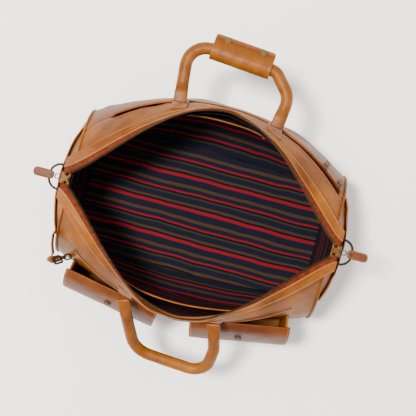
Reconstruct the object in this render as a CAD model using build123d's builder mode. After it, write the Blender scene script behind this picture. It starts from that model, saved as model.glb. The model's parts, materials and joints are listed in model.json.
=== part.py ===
"""Weekender bag standing open: leather panels, fabric lining, rolled handles, zips and cargo pockets.

Millimetres, +X along the bag's length, +Y towards the back, +Z up.
The origin is the centre of the base, on the surface the bag stands on.
"""
from build123d import *
from math import atan2, cos, degrees, hypot, pi, radians, sin
import os

import numpy as np

os.makedirs("parts", exist_ok=True)

# ---------------------------------------------------------------- driving dimensions
BODY_HEIGHT = 240.0
LEATHER = 3.0
LINING = 1.0
GAP = 0.5
BASE_TOP = 3.0
BOARD_TOP = 6.5
FLOOR_TOP = 8.0

# Plan of the body at five heights: corner seam, belly of each side, roundness of the front and back.
HEIGHTS = [3.0, 45.0, 120.0, 200.0, BODY_HEIGHT]
CORNER_X = [226.0, 232.0, 234.0, 229.0, 223.0]
CORNER_Y = [108.0, 124.0, 130.0, 88.0, 44.0]
BACK_BELLY = [116.0, 166.0, 198.0, 188.0, 178.0]
FRONT_BELLY = [116.0, 152.0, 172.0, 176.0, 176.0]
END_BELLY = [231.0, 246.0, 253.0, 244.0, 227.0]
ROUNDNESS = [2.2, 2.2, 2.25, 2.27, 1.75]

# Mouth: the zip bands lie flat at the two tongues and stand steep half way along.
TONGUE_X = 238.0
MOUTH_X = 236.0
MOUTH_Y = 167.0
SLIDER_GAP = 5.2
BAND_RISE = 26.0
TEETH_X = 225.0
BAND_SHARE = 0.57
TAPE_SHARE = 0.88

HANDLE_RADIUS = 10.0
HINGE_Z = 240.0
HINGE_Y = 169.0
FRONT_DROOP = 36.0
BACK_HANDLE = [(-82, 14), (-92, 104), (60, 92), (91, 56), (84, 14)]
BACK_BENDS = [34, 14, 34]
FRONT_HANDLE = [(-89, 14), (-50, 110), (76, 122), (81, 60), (68, 14)]
FRONT_BENDS = [44, 30, 50]
PADDLE = (22.0, 16.0, 4.0)

WRAP_LENGTH = 104.0
WRAP_INNER = -14.6
WRAP_OUTER = 28.0
WRAP_THICK = 2.0
SNAP_SPACING = 62.0

POCKET_X = 112.0
POCKET_TURN = 10.0
POCKET_WIDTH = 168.0
POCKET_FOOT = 38.0
POCKET_TOP = 168.0
POCKET_WALL = 2.5
POCKET_CORNER = 16.0
FLAP_HINGE_Z = 192.0
FLAP_WIDTH = 174.0
FLAP_THICK = 3.0

BACK_ZIP_Z = 200.0
BACK_ZIP_RADIUS = 312.0
BACK_ZIP_CENTRE_Y = -124.0
BACK_ZIP_SPAN = (-37.0, 45.0)
SLIDER_ANGLES = (42.6, 35.6)

RING_WIRE = 2.0
RING_WIDTH = 46.0
RING_DEPTH = 27.0
RING_Z = 236.5


# ---------------------------------------------------------------- shape of the body
def smooth(values, height):
    """A smooth curve through the values stated at HEIGHTS."""
    curve = np.polynomial.Polynomial.fit(HEIGHTS, values, len(HEIGHTS) - 1)
    return float(curve(height))


def panel_y(x, height, side):
    """Distance of the outer face of the front (side -1) or back (side +1) from the middle plane."""
    belly = smooth(BACK_BELLY if side > 0 else FRONT_BELLY, height)
    corner = smooth(CORNER_Y, height)
    share = min(abs(x) / smooth(CORNER_X, height), 1.0)
    return belly - (belly - corner) * share ** smooth(ROUNDNESS, height)


def gusset_x(y, height):
    """Distance of the outer face of an end gusset from the middle plane."""
    belly = smooth(END_BELLY, height)
    corner = smooth(CORNER_X, height)
    share = min(abs(y) / smooth(CORNER_Y, height), 1.0)
    return belly - (belly - corner) * share ** 2


def strip_section(outer, inner, height):
    """A thin closed plan section between two open curves."""
    with BuildSketch(Plane.XY.offset(height)) as section:
        with BuildLine():
            Spline(*outer)
            Line(outer[-1], inner[-1])
            Spline(*inner)
            Line(inner[0], outer[0])
        make_face()
    return section.sketch


def panel_strip(side, reach, low, high, depth, thick, steps=7, sections=7):
    """A strip of the front or back: reach is (x0, x1) as shares of the corner, depth is how far inside."""
    faces = []
    for height in np.linspace(low, high, sections):
        half = smooth(CORNER_X, height) - depth
        stations = np.linspace(reach[0] * half, reach[1] * half, steps)
        outer = [(x, side * (panel_y(x, height, side) - depth)) for x in stations]
        inner = [(x, side * (panel_y(x, height, side) - depth - thick)) for x in stations]
        faces.append(strip_section(outer, inner, height))
    with BuildPart() as strip:
        loft(faces)
    return strip


def gusset_strip(side, low, high, depth, thick, trim, sections=7):
    """A strip of one end, from corner to corner less the trim, depth inside the outer face."""
    faces = []
    for height in np.linspace(low, high, sections):
        half = smooth(CORNER_Y, height) - trim
        stations = np.linspace(-half, half, 7)
        outer = [(side * (gusset_x(y, height) - depth), y) for y in stations]
        inner = [(side * (gusset_x(y, height) - depth - thick), y) for y in stations]
        faces.append(strip_section(outer, inner, height))
    with BuildPart() as strip:
        loft(faces)
    return strip


def plan_face(height, grow):
    """The closed outline of the body at one height, grown outwards."""
    corner_x = smooth(CORNER_X, height) + grow
    corner_y = smooth(CORNER_Y, height) + grow
    along = np.linspace(-corner_x, corner_x, 9)
    across = np.linspace(-corner_y, corner_y, 7)
    scale_x = corner_x / (corner_x - grow)
    scale_y = corner_y / (corner_y - grow)
    with BuildSketch(Plane.XY.offset(height)) as outline:
        with BuildLine():
            Spline(*[(x, panel_y(x / scale_x, height, 1) + grow) for x in along])
            Spline(*[(x, -panel_y(x / scale_x, height, -1) - grow) for x in along])
            Spline(*[(gusset_x(y / scale_y, height) + grow, y) for y in across])
            Spline(*[(-gusset_x(y / scale_y, height) - grow, y) for y in across])
        make_face()
    return outline.sketch


def save(part, name):
    """Label a finished piece and write it to its own file."""
    part.label = name
    export_step(part, f"parts/{name}.step")


# ---------------------------------------------------------------- base, panels and gussets
with BuildPart() as base_panel:
    extrude(plan_face(0, -3), amount=BASE_TOP)
    fillet(base_panel.faces().sort_by(Axis.Z)[0].edges(), radius=1.5)
save(base_panel.part, "base_panel")

INSIDE = LEATHER + GAP
with BuildPart() as base_board:
    extrude(plan_face(BASE_TOP + GAP, -INSIDE - 2), amount=BOARD_TOP - BASE_TOP - GAP)
save(base_board.part, "base_board")

with BuildPart() as lining_floor:
    extrude(plan_face(BOARD_TOP + GAP, -INSIDE - LINING - GAP - 2), amount=FLOOR_TOP - BOARD_TOP - GAP)
save(lining_floor.part, "lining_floor")

PANEL_FOOT = BASE_TOP + 0.3
front_panel = panel_strip(-1, (-1, 1), PANEL_FOOT, BODY_HEIGHT, 0, LEATHER)
save(front_panel.part, "front_panel")

SLOT_INNER = 250.0
SLOT_OUTER = 500.0
SLOT_HEIGHT = 11.0
with BuildPart() as slot_wedge:
    with BuildSketch(Plane.XY.offset(BACK_ZIP_Z - SLOT_HEIGHT / 2)):
        outline = []
        for turn, radius in zip(BACK_ZIP_SPAN + BACK_ZIP_SPAN[::-1], (SLOT_OUTER, SLOT_OUTER, SLOT_INNER, SLOT_INNER)):
            outline.append((radius * sin(radians(turn)), BACK_ZIP_CENTRE_Y + radius * cos(radians(turn))))
        Polygon(*outline, align=None)
    extrude(amount=SLOT_HEIGHT)

with BuildPart() as back_panel:
    add(panel_strip(1, (-1, 1), PANEL_FOOT, BODY_HEIGHT, 0, LEATHER).part)
    add(slot_wedge.part, mode=Mode.SUBTRACT)
save(back_panel.part, "back_panel")

for side, name in ((-1, "left"), (1, "right")):
    gusset = gusset_strip(side, PANEL_FOOT, BODY_HEIGHT - 3, 0, LEATHER, LEATHER + 0.4)
    save(gusset.part, f"{name}_gusset")

# ---------------------------------------------------------------- lining
POUCH_DEPTH = LEATHER + 2.2
LINING_DEPTH = {-1: INSIDE, 1: POUCH_DEPTH + 2.0}
LINING_FOOT = FLOOR_TOP + 0.3
LINING_TOP = BODY_HEIGHT - 2
for side, name in ((-1, "front"), (1, "back")):
    reach = 1 - 1.5 / 223
    lining = panel_strip(side, (-reach, reach), LINING_FOOT, LINING_TOP, LINING_DEPTH[side], LINING)
    save(lining.part, f"lining_{name}")
for side, name in ((-1, "left"), (1, "right")):
    lining = gusset_strip(side, LINING_FOOT, LINING_TOP - 2, INSIDE + 3, LINING, INSIDE + LINING + 6)
    save(lining.part, f"lining_{name}")

pouch = panel_strip(1, (-0.8, 0.8), 70, 192, LEATHER + 0.6, 1.6)
save(pouch.part, "back_pocket_pouch")
slip_pocket = panel_strip(-1, (-0.62, 0.62), 90, 205, INSIDE + LINING + 8, 1.2)
save(slip_pocket.part, "inner_slip_pocket")


# ---------------------------------------------------------------- mouth: bands, tapes and teeth
def band_root(x):
    """Where the band is sewn to the top of its panel: (distance from the middle plane, height)."""
    share = min(abs(x) / 223.0, 1.0)
    beyond = max(abs(x) - 223.0, 0.0)
    return 179.0 - 134.0 * share ** 1.75 - 0.9 * beyond, 242.0 + 5.0 * share ** 2


def teeth_edge(x):
    """Where the teeth run: (distance from the middle plane, height)."""
    share = min(abs(x) / MOUTH_X, 1.0)
    outward, height = band_root(x)
    return SLIDER_GAP + MOUTH_Y * (1 - share ** 2) ** 1.5, height + BAND_RISE * (1 - share ** 2) + 1.5


def band_strip(side, end_x, start, stop, thick):
    """A ribbon along the mouth between two shares of the way from the band's root to the teeth."""
    faces = []
    for x in end_x * np.sin(np.linspace(-pi / 2, pi / 2, 17)):
        root_y, root_z = band_root(x)
        edge_y, edge_z = teeth_edge(x)
        width = hypot(edge_y - root_y, edge_z - root_z)
        lean_y = (edge_z - root_z) / width * thick / 2
        lean_z = -(edge_y - root_y) / width * thick / 2
        corners = []
        for share, way in ((start, 1), (stop, 1), (stop, -1), (start, -1)):
            y = root_y + (edge_y - root_y) * share + way * lean_y
            z = root_z + (edge_z - root_z) * share + way * lean_z
            corners.append((side * y, z))
        with BuildSketch(Plane.YZ.offset(x)) as section:
            Polygon(*corners, align=None)
        faces.append(section.sketch)
    with BuildPart() as ribbon:
        loft(faces)
    return ribbon


for side, name in ((-1, "front"), (1, "back")):
    band = band_strip(side, TONGUE_X, 0.0, BAND_SHARE, 2.4)
    save(band.part, f"zip_band_{name}")
    tape = band_strip(side, TONGUE_X - 2, BAND_SHARE + 0.01, TAPE_SHARE, 1.0)
    save(tape.part, f"zip_tape_{name}")
    teeth = band_strip(side, TEETH_X, TAPE_SHARE + 0.01, 1.0, 2.6)
    save(teeth.part, f"zip_teeth_{name}")

# ---------------------------------------------------------------- main sliders and their pulls
SLIDER_Z = band_root(MOUTH_X)[1] + 1.5
SLIDER_LENGTH = 11.0
SLIDER_X = TEETH_X + 0.6 + SLIDER_LENGTH / 2
PULL_Z = SLIDER_Z + 4.6
PULL_LINK = 19.0
TAB_START = 18.5
TAB_LENGTH = 35.0
TAB_WIDTH = 15.0
RIVET_AT = 24.5
for side, name in ((-1, "left"), (1, "right")):
    with BuildPart() as slider:
        for plate_z in (-3.0, 1.6):
            with BuildSketch(Plane((side * SLIDER_X, 0, SLIDER_Z + plate_z))):
                RectangleRounded(SLIDER_LENGTH, 9.0, 2.5)
            extrude(amount=1.4)
        with BuildSketch(Plane((side * SLIDER_X, 0, SLIDER_Z - 2.0))):
            Rectangle(SLIDER_LENGTH - 3, 4.0)
        extrude(amount=4.0)
        with BuildSketch(Plane((side * SLIDER_X, 1.5, SLIDER_Z + 3.0), x_dir=(1, 0, 0), z_dir=(0, -1, 0))):
            Rectangle(9.0, 9.6)
            Rectangle(5.4, 6.0, mode=Mode.SUBTRACT)
            with Locations((0, -4.5)):
                Rectangle(12.0, 6.0, mode=Mode.SUBTRACT)
        extrude(amount=3.0)
    save(slider.part, f"main_slider_{name}")

    with BuildPart() as link:
        with BuildSketch(Plane((side * (SLIDER_X + 8.0), 0, PULL_Z - 0.75))):
            RectangleRounded(PULL_LINK, 9.0, 3.0)
            RectangleRounded(PULL_LINK - 3.4, 5.6, 1.6, mode=Mode.SUBTRACT)
        extrude(amount=1.5)
    save(link.part, f"pull_link_{name}")

    with BuildPart() as tab:
        with BuildSketch(Plane((side * (SLIDER_X + TAB_START + TAB_LENGTH / 2), 0, PULL_Z - 1.8))):
            RectangleRounded(TAB_LENGTH, TAB_WIDTH, 6.5)
            with Locations((-side * (TAB_LENGTH / 2 + 1), 0)):
                Rectangle(10.0, 4.0)
        extrude(amount=3.6)
        with Locations((side * (SLIDER_X + 8.0 + PULL_LINK / 2 - 0.85), 0, PULL_Z)):
            Box(2.4, 20, 2.2, mode=Mode.SUBTRACT)
        with Locations((side * (SLIDER_X + RIVET_AT), 0, PULL_Z)):
            Cylinder(1.5, 10, mode=Mode.SUBTRACT)
    save(tab.part, f"pull_tab_{name}")

    with BuildPart() as rivet:
        with Locations((side * (SLIDER_X + RIVET_AT), 0, PULL_Z)):
            Cylinder(1.45, 5.2)
        for head_z in (-2.3, 2.3):
            with Locations((side * (SLIDER_X + RIVET_AT), 0, PULL_Z + head_z)):
                Cylinder(2.6, 0.8)
    save(rivet.part, f"pull_rivet_{name}")

# ---------------------------------------------------------------- handles and their anchor tabs
def handle_plane(side, lift):
    """The plane of a handle: x along the bag, y outwards from the hinge line, lift above level."""
    angle = radians(lift)
    out = Vector(0, side * cos(angle), sin(angle))
    return Plane((0, side * HINGE_Y, HINGE_Z), x_dir=(1, 0, 0), z_dir=Vector(1, 0, 0).cross(out))


def rolled_handle(side, lift, route, bends):
    """A rolled leather grip on a bent path, ending in two flat paddles at the hinge line."""
    plane = handle_plane(side, lift)
    with BuildPart() as handle:
        with BuildLine(plane) as path:
            FilletPolyline(*route, radius=bends)
        start = path.line @ 0
        with BuildSketch(Plane(start, z_dir=path.line % 0)):
            Circle(HANDLE_RADIUS)
        sweep()
        for x in (route[0][0], route[-1][0]):
            width, length, thick = PADDLE
            with BuildSketch(plane.offset(-thick / 2)):
                with Locations((x, 2.5 + length / 2)):
                    Rectangle(width, length)
            extrude(amount=thick)
    return handle


front_handle = rolled_handle(-1, -FRONT_DROOP, FRONT_HANDLE, FRONT_BENDS)
save(front_handle.part, "handle_front")
back_handle = rolled_handle(1, 0, BACK_HANDLE, BACK_BENDS)
save(back_handle.part, "handle_back")

ANCHOR_WIDTH = 26.0
ANCHOR_FOOT = 198.0
with BuildPart() as anchors:
    for side, route in ((-1, FRONT_HANDLE), (1, BACK_HANDLE)):
        for x in (route[0][0], route[-1][0]):
            half = smooth(CORNER_X, ANCHOR_FOOT)
            reach = ((x - ANCHOR_WIDTH / 2) / half, (x + ANCHOR_WIDTH / 2) / half)
            add(panel_strip(side, reach, ANCHOR_FOOT + 8, HINGE_Z - 7, -3.4, 2.8, 5, 5).part)
save(anchors.part, "handle_anchors")

# ---------------------------------------------------------------- grip wrap on the back handle
grip_start = Vector(BACK_HANDLE[1])
straight = Vector(BACK_HANDLE[2]) - grip_start
WRAP_CENTRE_X = -1.0
grip_middle = grip_start + straight * ((WRAP_CENTRE_X - grip_start.X) / straight.X)
wrap_origin = handle_plane(1, 0).from_local_coords((grip_middle.X, grip_middle.Y, 0))
wrap_along = straight.normalized()
wrap_plane = Plane(wrap_origin + wrap_along * (WRAP_LENGTH / 2), x_dir=(0, 0, 1), z_dir=-wrap_along)


def wrap_leaf(way):
    """One leaf of the wrap: from the fold, over the grip, to the snap edge. way is +1 above, -1 below."""
    reach = HANDLE_RADIUS + 0.6
    with BuildPart() as leaf:
        with BuildSketch(wrap_plane):
            with BuildLine():
                p0 = (way * 0.3, WRAP_INNER)
                p1 = (way * (reach * 0.72), -reach * 0.82)
                p2 = (way * reach, 0)
                p3 = (way * (reach * 0.62), reach * 1.15)
                p4 = (way * 1.0, WRAP_OUTER)
                q0 = (way * (0.3 + WRAP_THICK), WRAP_INNER)
                q1 = (way * (reach * 0.72 + WRAP_THICK), -reach * 0.82 - 0.6)
                q2 = (way * (reach + WRAP_THICK), 0)
                q3 = (way * (reach * 0.62 + WRAP_THICK), reach * 1.15 + 0.6)
                q4 = (way * (1.0 + WRAP_THICK), WRAP_OUTER)
                Spline(p0, p1, p2, p3, p4)
                Line(p4, q4)
                Spline(q4, q3, q2, q1, q0)
                Line(q0, p0)
            make_face()
        extrude(amount=WRAP_LENGTH)
    return leaf


save(wrap_leaf(1).part, "grip_wrap_top")
save(wrap_leaf(-1).part, "grip_wrap_bottom")

for way, name in ((1, "grip_snap_caps"), (-1, "grip_snap_studs")):
    with BuildPart() as snaps:
        for x in (-SNAP_SPACING / 2, SNAP_SPACING / 2):
            centre = wrap_origin + wrap_along * x + wrap_plane.y_dir * (WRAP_OUTER - 6.5)
            with BuildSketch(Plane(centre + Vector(0, 0, way * (WRAP_THICK + 5.0)), z_dir=(0, 0, way))):
                Circle(5.5)
            extrude(amount=1.4)
    save(snaps.part, name)

# ---------------------------------------------------------------- cargo pockets and flaps
def pocket_plane(side, height):
    """A level plane at a pocket, x along its width, y towards the bag, origin on the chord of the panel."""
    x0 = side * (POCKET_X - POCKET_WIDTH / 2)
    x1 = side * (POCKET_X + POCKET_WIDTH / 2)
    chord_y = -(panel_y(x0, 150, -1) + panel_y(x1, 150, -1)) / 2
    turn = radians(side * POCKET_TURN)
    return Plane((side * POCKET_X, chord_y, height), x_dir=(cos(turn), sin(turn), 0), z_dir=(0, 0, 1))


body_faces = [plan_face(height, 0.5) for height in np.linspace(20, 200, 7)]
with BuildPart() as body_block:
    loft(body_faces)

FLAP_PROFILE = [(8, FLAP_HINGE_Z), (22, 183), (35, 162), (44, 139), (49, 116)]
FLAP_LIP_Z = 113.8
FLAP_CORNER = 18.0
POCKET_DEPTHS = [(POCKET_FOOT, 38.0), (100.0, 48.0), (POCKET_TOP, 27.0)]
SNAP_OUT = 38.4
SNAP_Z = 163.8
SNAP_LEAN = 2.0
STUD_OUT = 31.9
STUD_Z = 160.5


def pocket_block(side, wall):
    """The bulging block of a pocket that reaches into the bag, inset by the wall all round but the top."""
    faces = []
    for height, depth in POCKET_DEPTHS:
        lift = wall if height < POCKET_TOP else 1.0 * bool(wall)
        with BuildSketch(pocket_plane(side, height + lift)) as section:
            with Locations((0, 20 - depth / 2)):
                RectangleRounded(POCKET_WIDTH - 2 * wall, depth + 40 - 2 * wall, POCKET_CORNER - wall)
        faces.append(section.sketch)
    with BuildPart() as block:
        loft(faces)
    return block


for side, name in ((-1, "left"), (1, "right")):
    with BuildPart() as pocket:
        add(pocket_block(side, 0).part)
        add(pocket_block(side, POCKET_WALL).part, mode=Mode.SUBTRACT)
        add(body_block.part, mode=Mode.SUBTRACT)
    save(pocket.part, f"pocket_body_{name}")

    level = pocket_plane(side, 0)
    across = Plane(level.origin - level.x_dir * (FLAP_WIDTH / 2), x_dir=-level.y_dir, z_dir=level.x_dir)
    with BuildPart() as flap:
        with BuildSketch(across):
            with BuildLine():
                inner = Spline(*[(out, -height) for out, height in FLAP_PROFILE])
                outer = Spline(*[(out + FLAP_THICK * 0.75, -height - FLAP_THICK * 0.75)
                                 for out, height in FLAP_PROFILE])
                Line(inner @ 0, outer @ 0)
                Line(inner @ 1, outer @ 1)
            make_face()
        extrude(amount=FLAP_WIDTH)
        with BuildSketch(Plane(level.origin, x_dir=level.x_dir, z_dir=-level.y_dir)):
            with Locations((0, FLAP_LIP_Z + FLAP_WIDTH / 2)):
                RectangleRounded(FLAP_WIDTH, FLAP_WIDTH, FLAP_CORNER)
        extrude(amount=FLAP_WIDTH, both=True, mode=Mode.INTERSECT)
    save(flap.part, f"pocket_flap_{name}")

    snap_face = level.from_local_coords((0, -SNAP_LEAN, 1)) - level.origin
    with BuildPart() as cap:
        with BuildSketch(Plane(level.from_local_coords((0, -SNAP_OUT, SNAP_Z)), z_dir=snap_face)):
            Circle(6.5)
        extrude(amount=1.6)
    save(cap.part, f"flap_snap_cap_{name}")

with BuildPart() as studs:
    for side in (-1, 1):
        level = pocket_plane(side, 0)
        snap_face = level.from_local_coords((0, -SNAP_LEAN, 1)) - level.origin
        with BuildSketch(Plane(level.from_local_coords((0, -STUD_OUT, STUD_Z)), z_dir=snap_face)):
            Circle(5.0)
        extrude(amount=1.4)
save(studs.part, "flap_snap_studs")

# ---------------------------------------------------------------- zip pocket on the back
def zip_arc(angle, radius, height=BACK_ZIP_Z):
    """A point on the level arc of the back zip, angle measured from +Y towards +X."""
    turn = radians(angle)
    return radius * sin(turn), BACK_ZIP_CENTRE_Y + radius * cos(turn), height


def arc_strip(angles, radii, low, high):
    """A curved ribbon following the back zip between two radii and two heights."""
    middle = sum(angles) / 2
    with BuildPart() as ribbon:
        with BuildSketch(Plane.XY.offset(low)):
            with BuildLine():
                ends = []
                for radius in radii:
                    points = [zip_arc(a, radius)[:2] for a in (angles[0], middle, angles[1])]
                    ThreePointArc(*points)
                    ends.append((points[0], points[2]))
                Line(ends[0][0], ends[1][0])
                Line(ends[0][1], ends[1][1])
            make_face()
        extrude(amount=high - low)
    return ribbon


zip_angles = (BACK_ZIP_SPAN[0] + 0.4, BACK_ZIP_SPAN[1] - 0.4)
zip_chain = arc_strip(zip_angles, (BACK_ZIP_RADIUS - 1.6, BACK_ZIP_RADIUS + 1.0), BACK_ZIP_Z - 1.5, BACK_ZIP_Z + 1.5)
save(zip_chain.part, "back_zip_chain")
with BuildPart() as zip_tapes:
    for low in (BACK_ZIP_Z - 5.2, BACK_ZIP_Z + 1.8):
        add(arc_strip(zip_angles, (BACK_ZIP_RADIUS - 1.2, BACK_ZIP_RADIUS), low, low + 3.4).part)
save(zip_tapes.part, "back_zip_tapes")

BACK_PULL_LEAN = 24.0
BACK_SLIDER_OUT = 1.4
BACK_LINK_OUT = 5.4


def out_plane(angle, out):
    """A plane square to the arc: x along the zip, z outwards."""
    turn = radians(angle)
    return Plane(zip_arc(angle, BACK_ZIP_RADIUS + out), x_dir=(cos(turn), -sin(turn), 0),
                 z_dir=(sin(turn), cos(turn), 0))


for angle, name in zip(SLIDER_ANGLES, ("outer", "inner")):
    with BuildPart() as slider:
        with BuildSketch(out_plane(angle, BACK_SLIDER_OUT)):
            RectangleRounded(11.0, 9.0, 2.5)
        extrude(amount=1.4)
        with Locations(out_plane(angle, BACK_SLIDER_OUT + 3.6)):
            Box(2.8, 9.0, 4.8)
        with Locations(out_plane(angle, BACK_LINK_OUT - 0.4)):
            Box(2.8, 5.4, 3.2, mode=Mode.SUBTRACT)
    save(slider.part, f"back_slider_{name}")

    hinge = out_plane(angle, BACK_LINK_OUT - 0.4)
    lean = radians(BACK_PULL_LEAN)
    hang = hinge.z_dir * sin(lean) - Vector(0, 0, cos(lean))
    with BuildPart() as pull:
        with BuildSketch(Plane(hinge.origin, x_dir=hinge.x_dir, z_dir=hinge.x_dir.cross(hang)).offset(-0.8)):
            with Locations((0, 7.2)):
                RectangleRounded(9.0, 16.0, 3.0)
                RectangleRounded(5.6, 12.6, 1.6, mode=Mode.SUBTRACT)
            with Locations((0, 25)):
                RectangleRounded(10.0, 26.0, 4.0)
        extrude(amount=1.6)
    save(pull.part, f"back_pull_{name}")

# ---------------------------------------------------------------- D-rings and their chapes
CHAPE_WIDTH = 20.0
CHAPE_THICK = 1.7
CHAPE_TOP = 229.0
CHAPE_FOOT = 206.0
ring_bar_x = gusset_x(0, CHAPE_TOP) + 0.4 + CHAPE_THICK + RING_WIRE + 0.3
for side, name in ((-1, "left"), (1, "right")):
    half = RING_WIDTH / 2 - RING_WIRE
    depth = RING_DEPTH - 2 * RING_WIRE
    corners = [(0, -half), (0, half), (side * depth, half), (side * depth, -half)]
    with BuildPart() as ring:
        with BuildLine(Plane((side * ring_bar_x, 0, RING_Z))) as path:
            FilletPolyline(*corners, radius=[4, 4, 18, 18], close=True)
        with BuildSketch(Plane(path.line @ 0, z_dir=path.line % 0)):
            Circle(RING_WIRE)
        sweep()
    save(ring.part, f"d_ring_{name}")

with BuildPart() as chapes:
    for side in (-1, 1):
        rows = (CHAPE_TOP, 218, CHAPE_FOOT)
        tail = [(gusset_x(0, z) + 0.4 + CHAPE_THICK, z) for z in rows]
        tail += [(gusset_x(0, z) + 0.4, z) for z in reversed(rows)]
        tail.append((ring_bar_x - RING_WIRE - 0.3 - CHAPE_THICK, RING_Z))
        tail.append((ring_bar_x, RING_Z))
        with BuildSketch(Plane.XZ.offset(-CHAPE_WIDTH / 2)):
            Polygon(*[(side * x, z) for x, z in tail], align=None)
            with Locations((side * ring_bar_x, RING_Z)):
                Circle(RING_WIRE + 0.3 + CHAPE_THICK)
                Circle(RING_WIRE + 0.3, mode=Mode.SUBTRACT)
        extrude(amount=CHAPE_WIDTH)
save(chapes.part, "ring_chapes")

# ---------------------------------------------------------------- side straps and the pin buckle
STRAP_Z = 192.0
STRAP_HALF = 7.5
STRAP_THICK = 2.4
BUCKLE_CENTRE = Vector(-218, -140, STRAP_Z)
BUCKLE_ALONG = Vector(0.85, 0.53, 0).normalized()
BUCKLE_FACE = Vector(0.375, -0.6, 0.707).normalized()
BUCKLE_LENGTH = 16.0
BUCKLE_WIDTH = 19.0
BUCKLE_WIRE = 2.6
CORNER_RING_RADIUS = 7.5
CORNER_RING_AT = 18.0


def strap_station(side, y, half):
    """Centre, width direction and direction of travel of a strap lying on a gusset."""
    low = gusset_x(y, STRAP_Z - half)
    high = gusset_x(y, STRAP_Z + half)
    width = Vector(side * (high - low), 0, 2 * half).normalized()
    middle = side * ((low + high) / 2 + 0.9 + STRAP_THICK / 2)
    return Vector(middle, y, STRAP_Z), width, Vector(0, -1, 0)


def side_strap(stations, half):
    """A leather strap through stations of (centre, width direction, direction of travel)."""
    faces = []
    for centre, width, travel in stations:
        with BuildSketch(Plane(centre, x_dir=width, z_dir=travel)) as section:
            Rectangle(2 * half, STRAP_THICK)
        faces.append(section.sketch)
    with BuildPart() as strap:
        loft(faces, ruled=True)
    return strap


def buckle_plane(lift):
    """The plane of the buckle, raised along its face."""
    return Plane(BUCKLE_CENTRE + BUCKLE_FACE * lift, x_dir=BUCKLE_ALONG, z_dir=BUCKLE_FACE)


seam_y = smooth(CORNER_Y, STRAP_Z) - 5
across_gusset = [seam_y * share for share in (1.0, 0.6, 0.2, -0.2, -0.6, -1.0)]
right_strap = side_strap([strap_station(1, y, STRAP_HALF) for y in across_gusset], STRAP_HALF)
save(right_strap.part, "side_strap_right")

left_stations = [strap_station(-1, y, STRAP_HALF) for y in across_gusset]
upright = left_stations[-1][1]
for x, y, turn in ((-237.5, -100, -84), (-235, -116, -78), (-229.5, -131, -68)):
    travel = Vector(cos(radians(turn)), sin(radians(turn)), 0)
    left_stations.append((Vector(x, y, STRAP_Z), upright - travel * upright.dot(travel), travel))
left_strap = side_strap(left_stations, STRAP_HALF)
save(left_strap.part, "side_strap_left")

with BuildPart() as buckle_frame:
    with BuildSketch(buckle_plane(-BUCKLE_WIRE / 2)):
        RectangleRounded(BUCKLE_LENGTH, BUCKLE_WIDTH, 3)
        RectangleRounded(BUCKLE_LENGTH - 2 * BUCKLE_WIRE, BUCKLE_WIDTH - 2 * BUCKLE_WIRE, 1, mode=Mode.SUBTRACT)
    extrude(amount=BUCKLE_WIRE)
save(buckle_frame.part, "buckle_frame")

with BuildPart() as buckle_prong:
    with BuildSketch(buckle_plane(BUCKLE_WIRE / 2 + 0.6)):
        RectangleRounded(BUCKLE_LENGTH, 2.2, 1)
    extrude(amount=1.8)
save(buckle_prong.part, "buckle_prong")

with BuildPart() as buckle_chape:
    with BuildSketch(buckle_plane(-BUCKLE_WIRE / 2 - 1.7)):
        with Locations((CORNER_RING_AT / 2, 0)):
            Rectangle(CORNER_RING_AT - 5, 9)
    extrude(amount=1.5)
save(buckle_chape.part, "buckle_chape")

with BuildPart() as corner_ring:
    with BuildSketch(buckle_plane(-1.0)):
        with Locations((CORNER_RING_AT, 0)):
            Circle(CORNER_RING_RADIUS)
            Circle(CORNER_RING_RADIUS - 2.0, mode=Mode.SUBTRACT)
    extrude(amount=2.0)
save(corner_ring.part, "corner_ring")

with BuildPart() as corner_tab:
    with BuildSketch(buckle_plane(-3.8)):
        with Locations((CORNER_RING_AT + 15, 0)):
            Rectangle(26, 12)
    extrude(amount=2.4)
    add(body_block.part, mode=Mode.SUBTRACT)
save(corner_tab.part, "corner_tab")

# ---------------------------------------------------------------- zip pocket inside the back
INNER_POCKET_TOP = 214.0
INNER_DEPTH = LINING_DEPTH[1] + LINING + 8
inner_pocket = panel_strip(1, (-0.5, 0.5), 120, INNER_POCKET_TOP, INNER_DEPTH, 1.2)
save(inner_pocket.part, "inner_zip_pocket")

INNER_SLIDER_X = 72.0
INNER_SLIDER_Y = panel_y(INNER_SLIDER_X, INNER_POCKET_TOP, 1) - INNER_DEPTH - 0.6
inner_turn = degrees(atan2(panel_y(INNER_SLIDER_X + 5, INNER_POCKET_TOP, 1)
                           - panel_y(INNER_SLIDER_X - 5, INNER_POCKET_TOP, 1), 10))
inner_x_dir = (cos(radians(inner_turn)), sin(radians(inner_turn)), 0)
with BuildPart() as inner_slider:
    with BuildSketch(Plane((INNER_SLIDER_X, INNER_SLIDER_Y, INNER_POCKET_TOP + 0.5), x_dir=inner_x_dir)):
        RectangleRounded(9.0, 7.0, 2.0)
    extrude(amount=2.0)
save(inner_slider.part, "inner_zip_slider")
with BuildPart() as inner_pull:
    with BuildSketch(Plane((INNER_SLIDER_X, INNER_SLIDER_Y, INNER_POCKET_TOP + 2.8), x_dir=inner_x_dir)):
        with Locations((0, -8)):
            RectangleRounded(8.0, 20.0, 3.0)
    extrude(amount=2.4)
save(inner_pull.part, "inner_zip_pull")
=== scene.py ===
"""Weekender bag: leather, lining, zips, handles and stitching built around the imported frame."""
import json
from math import cos, hypot, pi, radians, sin, sqrt

import bpy
import numpy as np
from mathutils import Matrix, Vector, noise


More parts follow.
